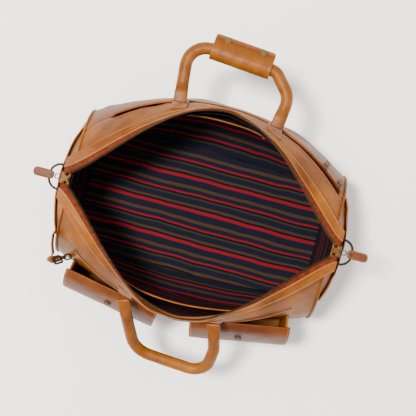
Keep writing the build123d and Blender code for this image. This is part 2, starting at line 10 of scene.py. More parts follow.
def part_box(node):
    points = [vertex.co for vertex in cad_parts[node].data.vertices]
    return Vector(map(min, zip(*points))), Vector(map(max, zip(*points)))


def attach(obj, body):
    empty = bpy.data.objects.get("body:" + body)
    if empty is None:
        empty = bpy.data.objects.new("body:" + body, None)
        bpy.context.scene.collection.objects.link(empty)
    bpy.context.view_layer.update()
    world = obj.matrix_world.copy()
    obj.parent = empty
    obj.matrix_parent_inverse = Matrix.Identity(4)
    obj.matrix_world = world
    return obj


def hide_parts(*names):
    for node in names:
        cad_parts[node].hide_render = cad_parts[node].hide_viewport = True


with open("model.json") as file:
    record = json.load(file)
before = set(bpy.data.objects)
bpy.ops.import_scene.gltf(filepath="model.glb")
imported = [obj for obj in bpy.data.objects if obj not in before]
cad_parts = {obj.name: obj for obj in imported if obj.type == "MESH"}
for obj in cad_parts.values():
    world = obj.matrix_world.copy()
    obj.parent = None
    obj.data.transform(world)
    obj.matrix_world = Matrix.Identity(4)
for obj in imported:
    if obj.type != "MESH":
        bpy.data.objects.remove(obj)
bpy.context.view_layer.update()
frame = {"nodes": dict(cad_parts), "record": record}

MM = 0.001

# ---------------------------------------------------------------- driving dimensions, millimetres
BODY_HEIGHT = 240.0
HEIGHTS = [3.0, 45.0, 120.0, 200.0, BODY_HEIGHT]
CORNER_X = [226.0, 232.0, 234.0, 229.0, 223.0]
CORNER_Y = [108.0, 124.0, 130.0, 88.0, 44.0]
BACK_BELLY = [116.0, 166.0, 198.0, 188.0, 178.0]
FRONT_BELLY = [116.0, 152.0, 172.0, 176.0, 176.0]
END_BELLY = [231.0, 246.0, 253.0, 244.0, 227.0]
ROUNDNESS = [2.2, 2.2, 2.25, 2.27, 1.75]
LEATHER = 3.0
TONGUE_X = 238.0
MOUTH_X = 236.0
MOUTH_Y = 167.0
SLIDER_GAP = 5.2
BAND_RISE = 26.0
TEETH_X = 225.0
HINGE_Y = 169.0
HINGE_Z = 240.0
FRONT_DROOP = 36.0
HANDLE_RADIUS = 10.0
FRONT_ROUTE = [(-89, -4), (-50, 110), (76, 122), (81, 60), (68, -4)]
FRONT_BENDS = [44, 30, 50]
BACK_ROUTE = [(-82, -4), (-92, 104), (60, 92), (91, 56), (84, -4)]
BACK_BENDS = [34, 14, 34]
POCKET_X = 112.0
POCKET_TURN = 10.0
POCKET_WIDTH = 168.0
POCKET_FOOT = 38.0
POCKET_TOP = 168.0
POCKET_DEPTHS = [(38.0, 38.0), (100.0, 48.0), (168.0, 27.0)]
FLAP_PROFILE = [(8, 192), (22, 183), (35, 162), (44, 139), (49, 116)]
FLAP_WIDTH = 174.0
BACK_ZIP_Z = 200.0
BACK_ZIP_RADIUS = 312.0
BACK_ZIP_CENTRE_Y = -124.0
BACK_ZIP_SPAN = (-36.6, 44.6)
LINING_DEPTH = {-1: 4.6, 1: 8.2}
SLIDER_X = 231.1
PULL_Z = 253.1


# ---------------------------------------------------------------- shape of the body
def smooth(values, height):
    """A smooth curve through the values stated at HEIGHTS."""
    return float(SMOOTH[id(values)](height))


SMOOTH = {}
for table in (CORNER_X, CORNER_Y, BACK_BELLY, FRONT_BELLY, END_BELLY, ROUNDNESS):
    SMOOTH[id(table)] = np.polynomial.Polynomial.fit(HEIGHTS, table, len(HEIGHTS) - 1)


def panel_y(x, height, side):
    """Distance of the outer face of the front (side -1) or back (side +1) from the middle plane."""
    belly = smooth(BACK_BELLY if side > 0 else FRONT_BELLY, height)
    corner = smooth(CORNER_Y, height)
    share = min(abs(x) / smooth(CORNER_X, height), 1.0)
    return belly - (belly - corner) * share ** smooth(ROUNDNESS, height)


def gusset_x(y, height):
    """Distance of the outer face of an end gusset from the middle plane."""
    belly = smooth(END_BELLY, height)
    corner = smooth(CORNER_X, height)
    share = min(abs(y) / smooth(CORNER_Y, height), 1.0)
    return belly - (belly - corner) * share ** 2


def wave(x, y, z, size):
    """Smooth noise from -1 to 1 with features about as large as size, in millimetres."""
    return noise.noise(Vector((x / size, y / size, z / size)))


def fade(value, start, end):
    """0 at start, 1 at end, smooth between."""
    t = min(max((value - start) / (end - start), 0.0), 1.0)
    return t * t * (3 - 2 * t)


def panel_sag(x, height, side):
    """How far soft leather stands out of the plain panel: broad dents, soft folds and a slumped foot."""
    seam = fade(smooth(CORNER_X, height) - abs(x), 0, 30)
    mid = fade(height, 6, 40) * (1 - fade(height, 205, 238))
    broad = 1.5 + 4.2 * wave(x, side * 300, height * 0.8, 80)
    slant = height + 0.35 * abs(x)
    fold = 2.8 * wave(x * 0.35, side * 70 + 9, slant, 24)
    crease = 2.2 * abs(wave(x * 0.8, side * 40 + 3, height * 1.4 + 0.3 * x, 34))
    pleat = 2.4 * sin(x / 9.5 + 3 * wave(x, 0, height, 60)) * fade(height, 175, 228) * (1 - fade(height, 230, 240))
    sag = seam * mid * (broad + fold - crease) + seam * pleat * 0.55
    if side > 0:
        run = fade(height, 135, 155) * (1 - fade(height, 212, 224))
    else:
        run = fade(height, 166, 180) * (1 - fade(height, 206, 218))
    return sag + (min(sag, -0.3) - sag) * run


def panel_point(x, height, side, out=0.0, sag=1.0):
    """A point out millimetres outside the front or back panel."""
    y = panel_y(x, height, side) + out + sag * panel_sag(x, height, side)
    return Vector((x, side * y, height))


def gusset_point(y, height, side, out=0.0, sag=1.0):
    """A point out millimetres outside an end gusset."""
    seam = fade(smooth(CORNER_Y, height) - abs(y), 0, 22)
    mid = fade(height, 6, 40) * (1 - fade(height, 215, 236))
    folds = 1.2 + 2.2 * wave(side * 200, y * 0.8, height, 70) + 1.4 * wave(side * 50, y, height * 0.25, 22)
    return Vector((side * (gusset_x(y, height) + out + sag * seam * mid * folds), y, height))


def band_root(x):
    """Where the band is sewn to the top of its panel: (distance from the middle plane, height)."""
    share = min(abs(x) / 223.0, 1.0)
    beyond = max(abs(x) - 223.0, 0.0)
    return 179.0 - 134.0 * share ** 1.75 - 0.9 * beyond, 242.0 + 5.0 * share ** 2


def teeth_edge(x):
    """Where the teeth run: (distance from the middle plane, height)."""
    share = min(abs(x) / MOUTH_X, 1.0)
    height = band_root(x)[1]
    return SLIDER_GAP + MOUTH_Y * (1 - share ** 2) ** 1.5, height + BAND_RISE * (1 - share ** 2) + 1.5


def band_point(x, side, share, lift=0.0):
    """A point across the zip band, share 0 at its root and 1 at the teeth, lifted off its outer face."""
    root_y, root_z = band_root(x)
    edge_y, edge_z = teeth_edge(x)
    width = hypot(edge_y - root_y, edge_z - root_z)
    y = root_y + (edge_y - root_y) * share + (edge_z - root_z) / width * lift
    z = root_z + (edge_z - root_z) * share - (edge_y - root_y) / width * lift
    return Vector((x, side * y, z))


# ---------------------------------------------------------------- mesh helpers
def piece(name, verts, faces, material, body, replaces=()):
    """A smooth mesh object from points in millimetres, riding on a body."""
    mesh = bpy.data.meshes.new(name)
    mesh.from_pydata([tuple(c * MM for c in v) for v in verts], [], faces)
    mesh.validate()
    mesh.update()
    mesh.shade_smooth()
    obj = bpy.data.objects.new(name, mesh)
    bpy.context.scene.collection.objects.link(obj)
    mesh.materials.append(material)
    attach(obj, body)
    if replaces:
        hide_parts(*replaces)
    return obj


def grid_faces(rows, columns, first=0, wrap=False):
    """Quads of a grid of rows by columns, the columns joined round when wrap is true."""
    faces = []
    last = columns if wrap else columns - 1
    for r in range(rows - 1):
        for c in range(last):
            a = first + r * columns + c
            b = first + r * columns + (c + 1) % columns
            faces.append((a, b, b + columns, a + columns))
    return faces


def sheet_piece(name, rows, material, body, thick, replaces=(), offset=-1.0):
    """A sheet through a grid of points, thickened to a closed shell."""
    verts = [v for row in rows for v in row]
    faces = [tuple(reversed(f)) for f in grid_faces(len(rows), len(rows[0]))]
    obj = piece(name, verts, faces, material, body, replaces)
    shell = obj.modifiers.new("thickness", "SOLIDIFY")
    shell.thickness = thick * MM
    shell.offset = offset
    shell.use_even_offset = False
    return obj


def tube_mesh(points, size, sides, closed=False, up=None):
    """Verts and faces of a tube along points; size(share) gives (half width, half depth)."""
    verts = []
    count = len(points)
    normal = up
    for i, p in enumerate(points):
        before = points[i - 1] if (i or closed) else p
        after = points[(i + 1) % count] if (i < count - 1 or closed) else p
        tangent = (after - before).normalized()
        if normal is None:
            normal = tangent.orthogonal()
        normal = (normal - tangent * normal.dot(tangent)).normalized()
        across = tangent.cross(normal)
        half, depth = size(i / max(count - 1, 1))
        for k in range(sides):
            a = 2 * pi * k / sides
            verts.append(p + across * (half * cos(a)) + normal * (depth * sin(a)))
    faces = []
    for r in range(count if closed else count - 1):
        for c in range(sides):
            a = r * sides + c
            b = r * sides + (c + 1) % sides
            e = ((r + 1) % count) * sides
            faces.append((a, b, e + (c + 1) % sides, e + c))
    if not closed:
        faces.append(tuple(reversed(range(sides))))
        faces.append(tuple(range((count - 1) * sides, count * sides)))
    return verts, faces


def tube_piece(name, points, radius, material, body, sides=8, closed=False):
    """A round tube along points."""
    verts, faces = tube_mesh(points, lambda share: (radius, radius), sides, closed)
    return piece(name, verts, faces, material, body)


def spline(a, b, c, d, t):
    """A point between b and c on the smooth curve through a, b, c and d."""
    return 0.5 * (2 * b + (c - a) * t + (2 * a - 5 * b + 4 * c - d) * t * t + (3 * b - a - 3 * c + d) * t ** 3)


def facing(rows, r, c, direction):
    """The same grid of points, turned over if needed so that the sheet faces a direction."""
    face = (rows[r + 1][c] - rows[r][c]).cross(rows[r][c + 1] - rows[r][c])
    return [list(reversed(row)) for row in rows] if face.dot(direction) < 0 else rows


def resample(points, pitch):
    """Points at equal steps along a line of points."""
    lengths = [0.0]
    for a, b in zip(points, points[1:]):
        lengths.append(lengths[-1] + (b - a).length)
    count = max(int(lengths[-1] / pitch), 2)
    out = []
    j = 0
    for i in range(count + 1):
        want = lengths[-1] * i / count
        while j < len(lengths) - 2 and lengths[j + 1] < want:
            j += 1
        run = lengths[j + 1] - lengths[j]
        share = (want - lengths[j]) / run if run else 0.0
        out.append(points[j].lerp(points[j + 1], share))
    return out


def fillet_path(route, bends, step=3.0):
    """Plane points along straight runs joined by arcs of the given radii."""
    corners = [Vector((x, y, 0)) for x, y in route]
    path = [corners[0]]
    for i, radius in enumerate(bends, 1):
        into = (corners[i] - corners[i - 1]).normalized()
        out = (corners[i + 1] - corners[i]).normalized()
        turn = into.angle(out)
        reach = radius * sin(turn / 2) / cos(turn / 2)
        start = corners[i] - into * reach
        bisector = (out - into).normalized()
        centre = corners[i] + bisector * (radius / cos(turn / 2))
        spoke = start - centre
        sign = 1 if into.cross(out).z > 0 else -1
        steps = max(int(radius * turn / step), 4)
        for k in range(steps + 1):
            path.append(centre + Matrix.Rotation(sign * turn * k / steps, 3, "Z") @ spoke)
    path.append(corners[-1])
    return resample(path, step)


def stitches(name, lines, body, pitch=4.2, length=2.9, radius=0.42):
    """Rows of thread stitches lying on a surface: each line is a list of points."""
    verts, faces = [], []
    for points in lines:
        spots = resample(points, pitch)
        for a, b in zip(spots, spots[1:]):
            along = (b - a).normalized()
            side = along.orthogonal().normalized()
            other = along.cross(side)
            middle = (a + b) / 2
            first = len(verts)
            for share, thick in ((-0.5, 0.35), (-0.25, 1.0), (0.25, 1.0), (0.5, 0.35)):
                for k in range(6):
                    turn = 2 * pi * k / 6
                    ring = side * (cos(turn) * radius * thick) + other * (sin(turn) * radius * thick)
                    verts.append(middle + along * (share * length) + ring)
            faces += grid_faces(4, 6, first, wrap=True)
            faces.append(tuple(first + k for k in reversed(range(6))))
            faces.append(tuple(first + 18 + k for k in range(6)))
    return piece(name, verts, faces, MATERIALS["thread"], body)


# ---------------------------------------------------------------- materials
class Nodes:
    """Short calls for building a material's node tree."""

    def __init__(self, name):
        self.material = bpy.data.materials.new(name)
        self.material.use_nodes = True
        self.tree = self.material.node_tree
        self.shader = self.tree.nodes["Principled BSDF"]
        self.place = self.add("ShaderNodeTexCoord").outputs["Object"]

    def add(self, kind, **settings):
        node = self.tree.nodes.new(kind)
        for key, value in settings.items():
            setattr(node, key, value)
        return node

    def link(self, source, target):
        self.tree.links.new(source, target)

    def noise(self, scale, detail=3.0, rough=0.55, stretch=None):
        node = self.add("ShaderNodeTexNoise")
        node.inputs["Scale"].default_value = scale
        node.inputs["Detail"].default_value = detail
        node.inputs["Roughness"].default_value = rough
        source = self.place
        if stretch:
            mapping = self.add("ShaderNodeMapping")
            mapping.inputs["Scale"].default_value = stretch
            self.link(source, mapping.inputs["Vector"])
            source = mapping.outputs["Vector"]
        self.link(source, node.inputs["Vector"])
        return node.outputs["Fac"]

    def cells(self, scale):
        node = self.add("ShaderNodeTexVoronoi", feature="DISTANCE_TO_EDGE")
        node.inputs["Scale"].default_value = scale
        self.link(self.place, node.inputs["Vector"])
        return node.outputs["Distance"]

    def ramp(self, source, stops, constant=False):
        node = self.add("ShaderNodeValToRGB")
        band = node.color_ramp
        band.interpolation = "CONSTANT" if constant else "LINEAR"
        band.elements[0].position, band.elements[0].color = stops[0][0], (*stops[0][1], 1.0)
        band.elements[-1].position, band.elements[-1].color = stops[-1][0], (*stops[-1][1], 1.0)
        for place, colour in stops[1:-1]:
            band.elements.new(place).color = (*colour, 1.0)
        self.link(source, node.inputs["Fac"])
        return node.outputs["Color"]

    def mix(self, factor, a, b, mode="MIX"):
        node = self.add("ShaderNodeMix", data_type="RGBA", blend_type=mode)
        for value, target in ((factor, node.inputs[0]), (a, node.inputs[6]), (b, node.inputs[7])):
            if isinstance(value, (int, float)):
                target.default_value = value
            elif isinstance(value, tuple):
                target.default_value = (*value, 1.0)
            else:
                self.link(value, target)
        return node.outputs[2]

    def math(self, operation, a, b=0.0, c=0.0):
        node = self.add("ShaderNodeMath", operation=operation)
        for value, target in zip((a, b, c), node.inputs):
            if isinstance(value, (int, float)):
                target.default_value = value
            else:
                self.link(value, target)
        return node.outputs[0]

    def bump(self, height, distance, strength=1.0, onto=None):
        node = self.add("ShaderNodeBump")
        node.inputs["Distance"].default_value = distance
        node.inputs["Strength"].default_value = strength
        self.link(height, node.inputs["Height"])
        if onto is not None:
            self.link(onto, node.inputs["Normal"])
        return node.outputs["Normal"]

    def finish(self, colour, rough, normal=None, **values):
        for value, key in ((colour, "Base Color"), (rough, "Roughness"), (normal, "Normal")):
            if value is None:
                continue
            if isinstance(value, (int, float)):
                self.shader.inputs[key].default_value = value
            else:
                self.link(value, self.shader.inputs[key])
        for key, value in values.items():
            self.shader.inputs[key.replace("_", " ")].default_value = value
        return self.material


def leather(name, dark, mid, light, gloss=0.42):
    """Aniline leather: cloudy tone, worn high spots, fine pebble grain and soft creases."""
    n = Nodes(name)
    cloud = n.noise(9.0, 5.0, 0.62)
    colour = n.ramp(cloud, [(0.30, dark), (0.50, mid), (0.72, light)])
    streak = n.noise(30.0, 5.0, 0.65, stretch=(1.0, 1.0, 0.45))
    colour = n.mix(0.35, colour, n.ramp(streak, [(0.32, dark), (0.55, mid), (0.75, light)]))
    worn = n.ramp(n.add("ShaderNodeNewGeometry").outputs["Pointiness"], [(0.49, (0, 0, 0)), (0.56, (1, 1, 1))])
    colour = n.mix(n.math("MULTIPLY", worn, 0.30), colour, light)
    pebble = n.cells(520.0)
    pore = n.noise(900.0, 2.0, 0.5)
    creases = n.noise(34.0, 7.0, 0.62, stretch=(1.0, 1.0, 1.8))
    normal = n.bump(creases, 0.0042, 0.6)
    normal = n.bump(pebble, 0.00030, 0.6, onto=normal)
    normal = n.bump(pore, 0.00015, 0.4, onto=normal)
    rough = n.math("MULTIPLY_ADD", cloud, 0.28, gloss - 0.12)
    return n.finish(colour, rough, normal, Specular_IOR_Level=0.14, Coat_Weight=0.03, Coat_Roughness=0.35)


def striped_lining(name, axis, period=0.062):
    """Navy cotton with red and brown stripes, a plain weave and slight fading."""
    n = Nodes(name)
    split = n.add("ShaderNodeSeparateXYZ")
    n.link(n.place, split.inputs[0])
    wobble = n.math("MULTIPLY_ADD", n.noise(9.0, 2.0), 0.010, -0.005)
    place = n.math("ADD", split.outputs[axis], wobble)
    phase = n.math("FRACT", n.math("MULTIPLY", n.math("ADD", place, 2.0), 1.0 / period))
    navy, black, red = (0.004, 0.005, 0.011), (0.002, 0.002, 0.004), (0.135, 0.003, 0.008)
    brown, olive = (0.034, 0.017, 0.008), (0.017, 0.016, 0.008)
    colour = n.ramp(phase, [(0.0, navy), (0.20, red), (0.30, black), (0.36, brown), (0.44, navy),
                            (0.60, olive), (0.66, black), (0.72, red), (0.78, navy), (0.90, brown)], True)
    weave = n.add("ShaderNodeTexWave", wave_type="BANDS", bands_direction="DIAGONAL")
    weave.inputs["Scale"].default_value = 420.0
    n.link(n.place, weave.inputs["Vector"])
    cloth = n.noise(240.0, 3.0, 0.6)
    colour = n.mix(n.math("MULTIPLY", cloth, 0.22), colour, (0.012, 0.010, 0.012))
    normal = n.bump(n.noise(28.0, 3.0, 0.5), 0.004, 0.4)
    normal = n.bump(weave.outputs["Fac"], 0.0003, 0.5, onto=normal)
    return n.finish(colour, 0.88, normal, Specular_IOR_Level=0.05)


def woven_tape(name):
    """Rust zip tape with a herringbone rib."""
    n = Nodes(name)
    colour = n.ramp(n.noise(160.0, 4.0), [(0.3, (0.055, 0.009, 0.003)), (0.7, (0.120, 0.023, 0.007))])
    rib = n.add("ShaderNodeTexWave", wave_type="BANDS", bands_direction="X")
    rib.inputs["Scale"].default_value = 330.0
    rib.inputs["Distortion"].default_value = 0.6
    n.link(n.place, rib.inputs["Vector"])
    normal = n.bump(rib.outputs["Fac"], 0.0004, 0.6)
    return n.finish(colour, 0.85, normal, Specular_IOR_Level=0.08)


def metal(name, dark, light, rough):
    """Aged metal: dark in the hollows, rubbed bright on the edges, with fine scratches."""
    n = Nodes(name)
    patina = n.noise(190.0, 5.0, 0.65)
    colour = n.ramp(patina, [(0.30, dark), (0.72, light)])
    rub = n.ramp(n.add("ShaderNodeNewGeometry").outputs["Pointiness"], [(0.50, (0, 0, 0)), (0.58, (1, 1, 1))])
    colour = n.mix(n.math("MULTIPLY", rub, 0.6), colour, light)
    scratch = n.noise(700.0, 3.0, 0.6, stretch=(1.0, 0.12, 1.0))
    normal = n.bump(scratch, 0.00012, 0.5)
    return n.finish(colour, n.math("MULTIPLY_ADD", patina, 0.25, rough - 0.10), normal, Metallic=1.0)


def plain(name, low, high, scale, rough, depth):
    """A matt material with a fine mottled tone and a little relief."""
    n = Nodes(name)
    tone = n.noise(scale, 4.0)
    return n.finish(n.ramp(tone, [(0.3, low), (0.7, high)]), rough, n.bump(tone, depth, 0.5))


MATERIALS = {
    "tan_leather": leather("tan_leather", (0.048, 0.011, 0.0006), (0.135, 0.037, 0.0018), (0.27, 0.088, 0.0055)),
    "band_leather": leather("band_leather", (0.046, 0.010, 0.0006), (0.130, 0.034, 0.0018), (0.25, 0.080, 0.0050)),
    # flap_leather is the tan leather darkened to about 0.6 of its value: painted shade of the front flaps, which face
    # away from the key light
    "flap_leather": leather("flap_leather", (0.030, 0.005, 0.0004), (0.080, 0.017, 0.0010), (0.155, 0.041, 0.0028), 0.42),
    "pull_leather": leather("pull_leather", (0.034, 0.007, 0.0008), (0.080, 0.019, 0.0018), (0.140, 0.042, 0.005), 0.55),
    "zip_tape": woven_tape("zip_tape"),
    "lining_cloth": striped_lining("lining_cloth", 2),
    "floor_cloth": striped_lining("floor_cloth", 1),
    "antique_brass": metal("antique_brass", (0.016, 0.010, 0.004), (0.085, 0.055, 0.024), 0.58),
    "gunmetal": metal("gunmetal", (0.008, 0.007, 0.006), (0.040, 0.034, 0.028), 0.55),
    "stiffener": plain("stiffener", (0.16, 0.12, 0.08), (0.26, 0.20, 0.14), 300.0, 0.9, 0.0003),
    "thread": plain("thread", (0.24, 0.090, 0.018), (0.42, 0.18, 0.045), 1500.0, 0.6, 0.0001),
    "floor": plain("floor", (0.86, 0.845, 0.82), (0.88, 0.865, 0.84), 6.0, 0.9, 0.00001),
}

for spec in frame["record"]["subparts"]:
    node = frame["nodes"][spec["node"]]
    node.data.materials.clear()
    node.data.materials.append(MATERIALS[spec["material_slot"]])
    bevel = node.modifiers.new("softened_edges", "BEVEL")
    bevel.width = 0.35 * MM
    bevel.segments = 2
    bevel.limit_method = "ANGLE"

# ---------------------------------------------------------------- outer leather
NAMES = {-1: "front", 1: "back"}
ENDS = {-1: "left", 1: "right"}
FOOT_Z = 1.6
PANEL_TOP = 243.0


def rows_of(point, low, high, rows, half, columns, top_margin=0.0):
    """A grid of surface points, each row reaching to its own half width."""
    grid = []
    for height in np.linspace(low, high, rows):
        reach = half(height) - top_margin
        grid.append([point(reach * s, float(height)) for s in np.sin(np.linspace(-pi / 2, pi / 2, columns))])
    return grid


def zip_gap(x):
    """Half the height of the opening left for the back zip."""
    return 5.7 * fade(x, -198, -184) * (1 - fade(x, 216, 225))


for side in (-1, 1):
    def outer(x, height, side=side):
        return panel_point(x, height, side)
    rows = rows_of(outer, FOOT_Z, PANEL_TOP, 76, lambda h: smooth(CORNER_X, h), 111)
    if side > 0:
        low_rows = [r for r in rows if r[0].z < BACK_ZIP_Z - 6.8]
        high_rows = [r for r in rows if r[0].z > BACK_ZIP_Z + 6.8]
        lip_low = [panel_point(v.x, BACK_ZIP_Z - zip_gap(v.x), side, 0.1) for v in low_rows[-1]]
        lip_high = [panel_point(v.x, BACK_ZIP_Z + zip_gap(v.x), side, 0.1) for v in high_rows[0]]
        sheet_piece("back_panel_lower", low_rows + [lip_low], MATERIALS["tan_leather"], "bag",
                    LEATHER, ("back_panel",))
        sheet_piece("back_panel_upper", [lip_high] + high_rows, MATERIALS["tan_leather"], "bag",
                    LEATHER, ("back_panel",))
    else:
        sheet_piece("front_leather", list(reversed(rows)), MATERIALS["tan_leather"], "bag",
                    LEATHER, ("front_panel",))

for side in (-1, 1):
    def outer(y, height, side=side):
        return gusset_point(y, height, side)
    rows = rows_of(outer, FOOT_Z, BODY_HEIGHT - 2, 70, lambda h: smooth(CORNER_Y, h) - 0.5, 61)
    if side < 0:
        rows = [list(r) for r in rows]
    else:
        rows = list(reversed(rows))
    sheet_piece(f"{ENDS[side]}_gusset_leather", rows, MATERIALS["tan_leather"], "bag", LEATHER,
                (f"{ENDS[side]}_gusset",))


def outline(height, grow, count=40):
    """The closed plan of the body, anticlockwise from the front left corner."""
    cx, cy = smooth(CORNER_X, height), smooth(CORNER_Y, height)
    loop = []
    for s in np.linspace(-1, 1, count, endpoint=False):
        loop.append(Vector((cx * s, -panel_y(cx * s, height, -1) - grow, height)))
    for s in np.linspace(-1, 1, count // 2, endpoint=False):
        loop.append(Vector((gusset_x(cy * s, height) + grow, cy * s, height)))
    for s in np.linspace(1, -1, count, endpoint=False):
        loop.append(Vector((cx * s, panel_y(cx * s, height, 1) + grow, height)))
    for s in np.linspace(1, -1, count // 2, endpoint=False):
        loop.append(Vector((-gusset_x(cy * s, height) - grow, cy * s, height)))
    return loop


def disc_piece(name, level, grow, rings, shape, material, thick, replaces):
    """A closed plate inside the outline at a level; shape(x, y, share) gives its height."""
    loop = outline(level, grow)
    verts = [Vector((0, 0, shape(0, 0, 0)))]
    for i in range(1, rings + 1):
        share = i / rings
        verts += [Vector((p.x * share, p.y * share, shape(p.x * share, p.y * share, share))) for p in loop]
    faces = [(0, 1 + k, 1 + (k + 1) % len(loop)) for k in range(len(loop))]
    faces += [tuple(reversed(f)) for f in grid_faces(rings, len(loop), 1, wrap=True)]
    obj = piece(name, verts, faces, material, "bag", replaces)
    shell = obj.modifiers.new("thickness", "SOLIDIFY")
    shell.thickness = thick * MM
    shell.offset = 0.0
    return obj


def base_shape(x, y, share):
    """The underside, dished a little and turned up at its edge."""
    return 1.35 + 1.6 * fade(share, 0.94, 1.0)


def floor_shape(x, y, share):
    """The lining over the base board, loose between its seams."""
    return 9.2 + 1.1 * wave(x, y, 0, 55)


disc_piece("base_leather", 3.0, -1.0, 18, base_shape, MATERIALS["tan_leather"], 2.6, ("base_panel",))
tube_piece("base_welt", outline(4.4, 0.2), 2.3, MATERIALS["band_leather"], "bag", closed=True)

corner_lines = []
for side_x in (-1, 1):
    for side_y in (-1, 1):
        line = []
        for height in np.linspace(5, 241, 60):
            line.append(Vector((side_x * (smooth(CORNER_X, height) + 0.6),
                                side_y * (smooth(CORNER_Y, height) + 0.6), float(height))))
        corner_lines.append(line)
        tube_piece(f"corner_welt_{ENDS[side_x]}_{NAMES[side_y]}", line, 2.2, MATERIALS["band_leather"], "bag")

# ---------------------------------------------------------------- lining
for side in (-1, 1):
    def inner(x, height, side=side):
        loose = 2.2 * (0.5 + 0.5 * wave(x, side * 90, height, 42)) * fade(height, 10, 40)
        return panel_point(x, height, side, -LINING_DEPTH[side] - loose, sag=0.0)
    rows = rows_of(inner, 9.5, 241.0, 56, lambda h: smooth(CORNER_X, h) - 4, 91)
    sheet_piece(f"lining_{NAMES[side]}_cloth", rows if side < 0 else list(reversed(rows)),
                MATERIALS["lining_cloth"], "bag", 0.9, (f"lining_{NAMES[side]}",))
    def inner_end(y, height, side=side):
        loose = 2.0 * (0.5 + 0.5 * wave(side * 70, y, height, 40)) * fade(height, 10, 40)
        return gusset_point(y, height, side, -LEATHER - 3.0 - loose, sag=0.0)
    rows = rows_of(inner_end, 9.5, 237.0, 50, lambda h: smooth(CORNER_Y, h) - 2, 41)
    sheet_piece(f"lining_{ENDS[side]}_cloth", list(reversed(rows)) if side < 0 else rows,
                MATERIALS["lining_cloth"], "bag", 0.9, (f"lining_{ENDS[side]}",))

disc_piece("lining_floor_cloth", 9.5, -4.0, 40, floor_shape, MATERIALS["floor_cloth"], 0.8,
           ("lining_floor",))

for side, reach, low, top, depth, name, node in (
        (-1, 141.0, 92, 205, 14.0, "slip_pocket_cloth", "inner_slip_pocket"),
        (1, 110.0, 122, 210.5, 17.5, "zip_pocket_cloth", "inner_zip_pocket")):
    def hanging(x, height, side=side, depth=depth, low=low, top=top, reach=reach):
        open_top = fade(height, low, top)
        swell = (5.0 * open_top + 2.0 * wave(x, 11 * side, height, 45)) * fade(reach - abs(x), 0, 30)
        return panel_point(x, height, side, -depth - swell, sag=0.0)
    rows = rows_of(hanging, low, top, 34, lambda h, reach=reach: reach, 61)
    sheet_piece(name, rows if side < 0 else list(reversed(rows)), MATERIALS["lining_cloth"], "bag",
                1.0, (node,))
    tube_piece(f"{name}_binding", rows[-1], 1.5, MATERIALS["tan_leather"], "bag")

for side in (-1, 1):
    edge = [gusset_point(y, 237.5, side, -1.2) for y in np.linspace(-44, 44, 30)]
    tube_piece(f"gusset_binding_{ENDS[side]}", edge, 2.0, MATERIALS["tan_leather"], "bag")

# ---------------------------------------------------------------- mouth: bands, tapes and teeth
for side in (-1, 1):
    columns = [TONGUE_X * s for s in np.sin(np.linspace(-pi / 2, pi / 2, 181))]

    def soft(x, share, side=side):
        ease = fade(223 - abs(x), 0, 40)
        ripple = 3.2 * wave(x, side * 60, share * 30, 48) + 2.2 * wave(x * 0.3, side * 20, share * 60 + abs(x) * 0.1, 14)
        return 0.6 + ease * ripple * sin(pi * min(share, 1.0))

    rows = []
    for share in np.linspace(-0.03, 0.57, 14):
        roll = 0.7 * (1 - fade(share, 0.0, 0.10)) + 0.5 * fade(share, 0.50, 0.57)
        rows.append([band_point(x, side, share, soft(x, share) - roll) for x in columns])
    sheet_piece(f"band_{NAMES[side]}", rows if side > 0 else list(reversed(rows)), MATERIALS["band_leather"],
                "bag", 2.4, (f"zip_band_{NAMES[side]}",), offset=0.0)
    rows = [[band_point(x * 236 / 238, side, share, -0.6 + 0.5 * soft(x, share)) for x in columns]
            for share in np.linspace(0.50, 0.93, 8)]
    sheet_piece(f"tape_{NAMES[side]}", rows if side > 0 else list(reversed(rows)), MATERIALS["zip_tape"],
                "bag", 0.9, (f"zip_tape_{NAMES[side]}",), offset=0.0)
    rows = []
    for share in (0.045, 0.52):
        rows.append([band_point(x, side, share, soft(x, share) + 1.25) for x in columns[6:-6]])
    stitches(f"band_stitches_{NAMES[side]}", rows, "bag")
    welt = [band_point(x, side, -0.02, 0.4) for x in columns[4:-4]]
    tube_piece(f"mouth_welt_{NAMES[side]}", welt, 1.7, MATERIALS["tan_leather"], "bag")


def teeth(name, edge, outward, face, body="bag", replaces=(), pitch=3.6, size=1.45):
    """Separate zip teeth along a line: a clamp on the tape and a narrower head beyond it."""
    spots = resample(edge, pitch)
    verts, faces = [], []
    for i, spot in enumerate(spots):
        a, b = spots[max(i - 1, 0)], spots[min(i + 1, len(spots) - 1)]
        along = (b - a).normalized()
        reach = outward(spot)
        up = face(spot)
        for near, far, wide, high in ((-2.3, 0.4, 0.85, 1.25), (0.2, 2.3, 0.60, 0.85)):
            first = len(verts)
            for way, shrink in ((near, 0.8), ((near + far) / 2, 1.0), (far, 0.7)):
                for k in range(8):
                    turn = 2 * pi * (k + 0.5) / 8
                    verts.append(spot + reach * (way * size) + along * (wide * size * shrink * 1.1 * cos(turn))
                                 + up * (high * size * shrink * sin(turn)))
            faces += grid_faces(3, 8, first, wrap=True)
            faces.append(tuple(first + k for k in reversed(range(8))))
            faces.append(tuple(first + 16 + k for k in range(8)))
    return piece(name, verts, faces, MATERIALS["antique_brass"], body, replaces)


for side in (-1, 1):
    columns = [TEETH_X * s for s in np.sin(np.linspace(-pi / 2, pi / 2, 161))]

    def inward(spot, side=side):
        return (band_point(spot.x, side, 1.0) - band_point(spot.x, side, 0.9)).normalized()

    def upward(spot, side=side):
        return (band_point(spot.x, side, 0.9, 1.0) - band_point(spot.x, side, 0.9)).normalized()

    teeth(f"teeth_{NAMES[side]}", [band_point(x, side, 0.945, 0.7) for x in columns], inward, upward,
          replaces=(f"zip_teeth_{NAMES[side]}",))


